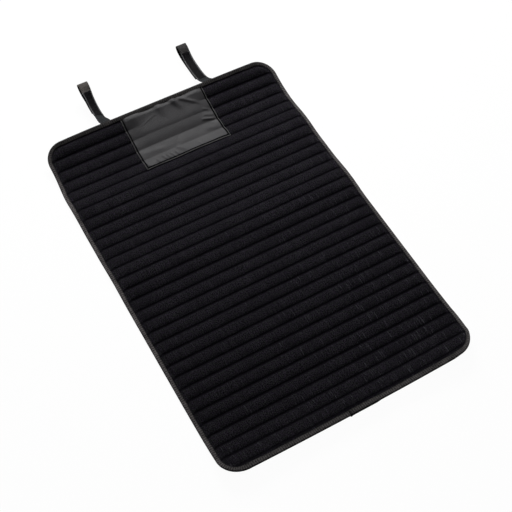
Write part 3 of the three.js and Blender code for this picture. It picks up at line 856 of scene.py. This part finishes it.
# The straps
def smooth_path(points, step):
    """A centripetal Catmull-Rom curve through points, at even steps."""
    points = np.array(points, float)
    points = np.concatenate([[2 * points[0] - points[1]], points, [2 * points[-1] - points[-2]]])
    pieces = []
    for number in range(1, len(points) - 2):
        corners = points[number - 1:number + 3]
        knots = np.concatenate([[0], np.cumsum(np.hypot(*np.diff(corners, axis=0).T) ** 0.5)])
        t = np.linspace(knots[1], knots[2], 24, endpoint=False)[:, None]
        # Each round blends neighbours over a wider reach, until one curve is left.
        blends = list(corners)
        for reach, firsts in ((1, (0, 1, 2)), (2, (0, 1)), (1, (1,))):
            blends = [low + (high - low) * (t - knots[first]) / (knots[first + reach] - knots[first])
                      for low, high, first in zip(blends[:-1], blends[1:], firsts)]
        pieces.append(blends[0])
    dense = np.concatenate(pieces + [points[-2:-1]])
    run = run_along(dense)
    even = np.linspace(0, run[-1], max(2, round(run[-1] / step)) + 1)
    return np.stack([np.interp(even, run, dense[:, 0]), np.interp(even, run, dense[:, 1])], -1), even


# The free run of each strap: the way out from the mat's top edge, and the height over the surface
LEFT_RUN = [(14, 32), (34, 22.5), (54, 17.5), (74, 19.5), (92, 28), (109, 39), (121, 45.5), (130, 46),
            (134.5, 40), (130, 33), (118, 27.5), (103, 21), (88, 15.5), (72, 13), (58, 12)]
RIGHT_RUN = [(12, 31), (28, 21.2), (44, 16.5), (60, 15), (78, 15), (94, 16.4), (106, 19.6), (118, 26),
             (130.5, 33), (140, 33.5), (145, 26), (139, 18), (126, 12.6), (110, 10.2), (94, 9.6), (76, 9.6),
             (58, 10), (40, 12)]
TOP_EDGE_Y = float(middle_line(np.array(MAT_LENGTH))[0])


class Strap:
    """A strap's path in the plane of its length, with the bank of its cross-section."""

    def __init__(self, centre_x, run, bank):
        self.centre_x = centre_x
        sewn_s = np.array([MAT_LENGTH - 30, MAT_LENGTH - 20, MAT_LENGTH - 10, MAT_LENGTH, MAT_LENGTH + 1.2])
        root = on_mat(centre_x, sewn_s, -0.3 - WEBBING / 2)[:, 1:]
        free_run = [(TOP_EDGE_Y + out, height) for out, height in run]
        self.path, self.run = smooth_path(root.tolist() + free_run, 1.5)
        self.ahead = np.gradient(self.path, axis=0)
        self.ahead /= np.linalg.norm(self.ahead, axis=1, keepdims=True)
        out = self.path[:, 0] - TOP_EDGE_Y
        self.bank = np.radians(bank) * smooth(out, 8, 40) * smooth(out, 122, 92) * np.sign(self.ahead[:, 0])
        self.fold = self.run[self.path[:, 0].argmax()]

    def at(self, run, across, height):
        """Points at a length along the strap, a way across it and a height over its middle."""
        run, across, height = np.broadcast_arrays(run, across, height)
        y, z, ahead_y, ahead_z, bank = [np.interp(run, self.run, found)
                                        for found in (*self.path.T, *self.ahead.T, self.bank)]
        size = np.hypot(ahead_y, ahead_z)
        up_y, up_z = -ahead_z / size, ahead_y / size
        side = across * np.cos(bank) + height * np.sin(bank)
        up = height * np.cos(bank) - across * np.sin(bank)
        return np.stack([self.centre_x + side, y + up_y * up, z + up_z * up], -1)


def band(name, strap, start, end, low, high, width, material, paling=None):
    """A flat band that follows a strap between two lengths and two heights, with soft edges."""
    run = np.linspace(start, end, max(3, round((end - start) / 1.5)))
    half = width / 2
    ins = min(0.35, (high - low) / 2.05)
    across_steps = np.linspace(-half + ins, half - ins, 13)
    upper = np.stack([across_steps, high + 0 * across_steps], -1)
    lower = np.stack([across_steps[::-1], low + 0 * across_steps], -1)
    left_edge = [(-half, low + ins), (-half, high - ins)]
    right_edge = [(half, high - ins), (half, low + ins)]
    ring = np.concatenate([upper, right_edge, lower, left_edge])
    rings = strap.at(run[:, None], ring[None, :, 0], ring[None, :, 1])
    flat = np.stack(np.broadcast_arrays(ring[None, :, 0], run[:, None]), -1)
    piece = swept_band(name, rings[:, ::-1], flat[:, ::-1], material)
    if paling is not None:
        # The fold is painted pale, a painted sheen with some wear, and what faces inwards is painted black as
        # shade, its edges too once it has turned back.
        zone_weight = smooth(run, strap.fold - 40, strap.fold - 33) * smooth(run, strap.fold + 8, strap.fold - 2)
        ring_across, ring_height = ring[::-1].T
        returning = (np.abs(ring_across) > half - 0.01) * smooth(run, strap.fold - 3, strap.fold + 5)[:, None]
        mark(piece, "paling", paling * zone_weight[:, None] + 0 * ring_across)
        mark(piece, "loop_shade", np.maximum((ring_height < 0) * smooth(run, 30, 40)[:, None], returning))
    return piece


def hook_bed(name, strap, run, across, height, facing):
    """Loose points on a strap for its hooks, each with the way that it faces."""
    points = strap.at(run, across, height)
    ways = (strap.at(run, across, height + facing) - points).reshape(-1, 3)
    ways /= np.linalg.norm(ways, axis=1, keepdims=True)
    base = new_piece(name, points, [])
    mark(base, "facing", ways, "FLOAT_VECTOR", "vector")
    return base


def seam_round(strap, start, end, half, height, steps_along, steps_across):
    """The four lines of a seam round a rectangle on a strap."""
    sides = [strap.at(np.linspace(start, end, steps_along), edge, height) for edge in (-half, half)]
    return sides + [strap.at(run, np.linspace(-half, half, steps_across), height) for run in (start, end)]


# Heights over the webbing's middle: both tapes' faces, their stitches, and the stitches under the mat
PILE_LOW, PILE_HIGH, PILE_SEAM = 0.85, 1.55, 1.62
HOOK_LOW, HOOK_HIGH, HOOK_SEAM = -1.4, -0.85, -1.47
BOX_SEAM = -0.74
TAPE_WIDTH = 24.6
PILE_FROM_FOLD = 32
HOOK_LENGTH = 41
SEAM_INSET = 1.5
TAPE_SEAM_HALF = 11.4
BOX_START, BOX_END, BOX_HALF = 3.0, 26.0, 10
# Each strap, the length of its pile tape and how pale its fold is painted, a painted sheen with some wear
straps = {"left": (Strap(-STRAP_X, LEFT_RUN, 24), 70, 0.88),
          "right": (Strap(STRAP_X, RIGHT_RUN, 0), 94, 0.28)}
strap_pieces = {}
for side, (strap, pile_length, paling) in straps.items():
    total = strap.run[-1]
    half = WEBBING / 2
    webbing = band("webbing_" + side, strap, 0, total, -half, half, STRAP_WIDTH, STRAPPING, paling)
    pile_end = strap.fold - PILE_FROM_FOLD
    pile_start = pile_end - pile_length
    pile = band("pile_ground_" + side, strap, pile_start, pile_end, PILE_LOW, PILE_HIGH, TAPE_WIDTH,
                PILE_GROUND)
    run = np.linspace(pile_start + 1, pile_end - 1, round(pile_length / 2))
    rows = strap.at(run[:, None], np.linspace(-9.9, 8.9, 9)[None, :], PILE_HIGH)
    pile_bed = new_piece("pile_bed_" + side, rows, grid_faces(*rows.shape[:2]).tolist())
    loops = grow("pile_loops_" + side, pile_bed, LOOPS, PILE_LOOPS,
                 {"Spacing": 0.0008, "Loop height": 0.0009, "Yarn width": 0.00013})
    hook_end = total - 1
    hook_start = hook_end - HOOK_LENGTH
    hook = band("hook_ground_" + side, strap, hook_start, hook_end, HOOK_LOW, HOOK_HIGH, TAPE_WIDTH,
                HOOK_GROUND)
    run = np.linspace(hook_start + 1, hook_end - 1, 26)
    columns = np.linspace(-8.4, 8.4, 12)[None, :]
    bed = hook_bed("hook_bed_" + side, strap, run[:, None], columns, HOOK_LOW, -1.0)
    hooks = grow("hooks_" + side, bed, HOOKS, HOOK_NYLON, {"Hook height": 0.0008, "Hook width": 0.00016})
    seam_lines = []
    for start, end, height, steps in ((pile_start, pile_end, PILE_SEAM, 60),
                                      (hook_start, hook_end, HOOK_SEAM, 40)):
        seam_lines += seam_round(strap, start + SEAM_INSET, end - SEAM_INSET, TAPE_SEAM_HALF,
                                 height, steps, 12)
    tape_seams = sewn("tape_stitches_" + side, seam_lines, BLACK_THREAD, 2.6, 2.1, 0.42)
    box_lines = seam_round(strap, BOX_START, BOX_END, BOX_HALF, BOX_SEAM, 16, 14)
    for turn in (-1, 1):
        crossing = np.linspace(-BOX_HALF, BOX_HALF, 18) * turn
        box_lines.append(strap.at(np.linspace(BOX_START, BOX_END, 18), crossing, BOX_SEAM))
    box = sewn("box_stitches_" + side, box_lines, GREY_THREAD, 2.6, 2.1, 0.5)
    strap_pieces[side] = dict(webbing=webbing, pile=pile, loops=loops, hook=hook, hooks=hooks,
                              tape_seams=tape_seams, box=box)

# The stitching of the mat: its threads lie a little over the cloth, and the quilting ends at the tape.
THREAD_RISE = 0.12
QUILTING_INSET = 10.5
TAPE_TOP = 5.14
quilt_lines = []
under_lines = []
for row, s in enumerate(flat_s[:, 0]):
    if s not in SEAMS:
        continue
    half = float(half_width(s, QUILTING_INSET))
    way = np.linspace(-half, half, 200)
    over = np.interp(way, face_x[row], face_h[row])
    quilt_lines.append(on_mat(way, s, over + THREAD_RISE))
    under_lines.append(on_mat(way, s, backing_bottom(way, s) + SEAM_DIP * fullness(way, s) - 0.05))
quilt_stitches = sewn("quilting_stitches", quilt_lines, BLACK_THREAD, 3.6, 3.0, 0.5)
under_stitches = sewn("quilting_stitches_below", under_lines, BLACK_THREAD, 3.6, 3.0, 0.5)

tape_lines = []
for height, outwards in ((TAPE_TOP + THREAD_RISE, 1), (0.1, -1)):
    lane = 7.6 * (reach if outwards > 0 else 1)
    raise_by = PANEL_RISE * over_panel if outwards > 0 else 0
    line = on_mat(station_x - out_x * lane, station_s - out_s * lane, height + lap * outwards + raise_by)
    line[:, 2] = np.maximum(line[:, 2], 0.16)
    tape_lines.append(line)
tape_stitches = sewn("binding_stitches", tape_lines, TAPE_THREAD, 3.4, 2.6, 0.5)

panel_surface = on_mat(panel_x, panel_s, panel_high + THREAD_RISE)


def panel_line(places):
    """The places' points on the panel, each given in millimetres in from its left and bottom edges."""
    found = []
    for in_x, in_s in places:
        column = np.interp(in_x / PANEL_ACROSS, across, np.arange(len(across)))
        row = np.interp(in_s / PANEL_LENGTH, along, np.arange(len(along)))
        left, low = min(int(column), len(across) - 2), min(int(row), len(along) - 2)
        share_x, share_s = column - left, row - low
        near, far = [panel_surface[line, left] * (1 - share_x) + panel_surface[line, left + 1] * share_x
                     for line in (low, low + 1)]
        found.append(near * (1 - share_s) + far * share_s)
    return np.array(found)


# Down its left side, along its bottom and up its right side
inset = 1.2
top = PANEL_LENGTH - 7
panel_lines = [panel_line([(inset, way) for way in np.linspace(top, inset, 90)]),
               panel_line([(way, inset) for way in np.linspace(inset, PANEL_ACROSS - inset, 130)]),
               panel_line([(PANEL_ACROSS - inset, way) for way in np.linspace(inset, top, 90)])]
panel_stitches = sewn("panel_stitches", panel_lines, GREY_THREAD, 4.2, 2.7, 0.75)

# The camera, the lamps and the white surround
camera_data = bpy.data.cameras.new("camera")
camera_data.lens = 71.9
camera_data.sensor_width = 36
camera_data.clip_end = 100
camera = placed("camera", camera_data)
camera.location = (-0.6223, -1.0396, 1.8993)
camera.rotation_euler = [math.radians(turn) for turn in (32.124, -1.268, -29.617)]
bpy.context.scene.camera = camera

# Each soft lamp's place, width, height and power; both face the mat's middle
for name, place, width, height, power in (("far_softbox", (0.42, 1.3, 1.2), 1.1, 0.8, 36),
                                          ("overhead_softbox", (0.2, 0.2, 2.8), 2.0, 2.0, 9)):
    lamp = bpy.data.lights.new(name, "AREA")
    lamp.shape = "RECTANGLE"
    lamp.size = width
    lamp.size_y = height
    lamp.energy = power
    holder = placed(name, lamp)
    holder.location = place
    away_x, away_y, away_z = place
    holder.rotation_euler = (math.atan2(math.hypot(away_x, away_y), away_z), 0, math.atan2(away_x, -away_y))


def white_surround():
    """A white studio: bright to the camera and dim as a light."""
    world = bpy.data.worlds.new("white studio")
    bpy.context.scene.world = world
    tree = blank_tree(world)
    path = add_node(tree, "LightPath")
    seen = add_node(tree, "Math", [path.outputs["Is Camera Ray"], path.outputs["Is Transmission Ray"]],
                    operation="MAXIMUM")
    level = add_node(tree, "MapRange", {0: seen, 3: 0.12, 4: 1.0})
    sky = add_node(tree, "Background", {"Color": (1, 1, 1, 1), "Strength": level})
    add_node(tree, "OutputWorld", {"Surface": sky})


def paper_floor():
    """Matt studio paper: the camera sees it white, with a faint shadow, and it throws little light back."""
    made = bpy.data.materials.new("white studio paper")
    tree = blank_tree(made)
    path = add_node(tree, "LightPath")
    seen = path.outputs["Is Camera Ray"]
    tone = add_node(tree, "Mix", {0: seen, 6: "#9a9a9a", 7: (1.0, 1.0, 1.0, 1.0)})
    paper = add_node(tree, "BsdfDiffuse", {"Color": tone})
    white = add_node(tree, "Emission", {"Color": (1, 1, 1, 1), "Strength": 1.0})
    share = add_node(tree, "Math", [seen, 0.965], operation="MULTIPLY")
    add_node(tree, "OutputMaterial", {"Surface": add_node(tree, "MixShader", [share, paper, white])})
    return made


white_surround()
FLOOR_HALF = 6000
corners = [(x * FLOOR_HALF, y * FLOOR_HALF, -0.1) for x, y in ((-1, -1), (1, -1), (1, 1), (-1, 1))]
floor = new_piece("floor", corners, [(0, 1, 2, 3)], material=paper_floor())
bpy.context.scene.view_settings.view_transform = "Standard"

# What each piece rides on, is finished in and stands for
mat_pieces = [(face, "face", ["face_fabric"]), (foam, "foam", ["foam_padding"]),
              (backing, "backing", ["backing_fabric"]), (binding, "binding", ["edge_binding"]),
              (panel, "panel", ["patch_panel"]), (quilt_stitches, "face", []),
              (under_stitches, "backing", []), (tape_stitches, "binding", []), (panel_stitches, "panel", [])]
for side, found in strap_pieces.items():
    mat_pieces += [(found["webbing"], "webbing", ["strap_" + side]),
                   (found["pile"], "pile", ["pile_tape_" + side]), (found["loops"], "pile", []),
                   (found["hook"], "hook", ["hook_tape_" + side]), (found["hooks"], "hook", []),
                   (found["tape_seams"], "pile", []), (found["box"], "webbing", [])]
for piece, finish, stands_for in mat_pieces:
    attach(piece, "root")
    if stands_for:
        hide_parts(*stands_for)
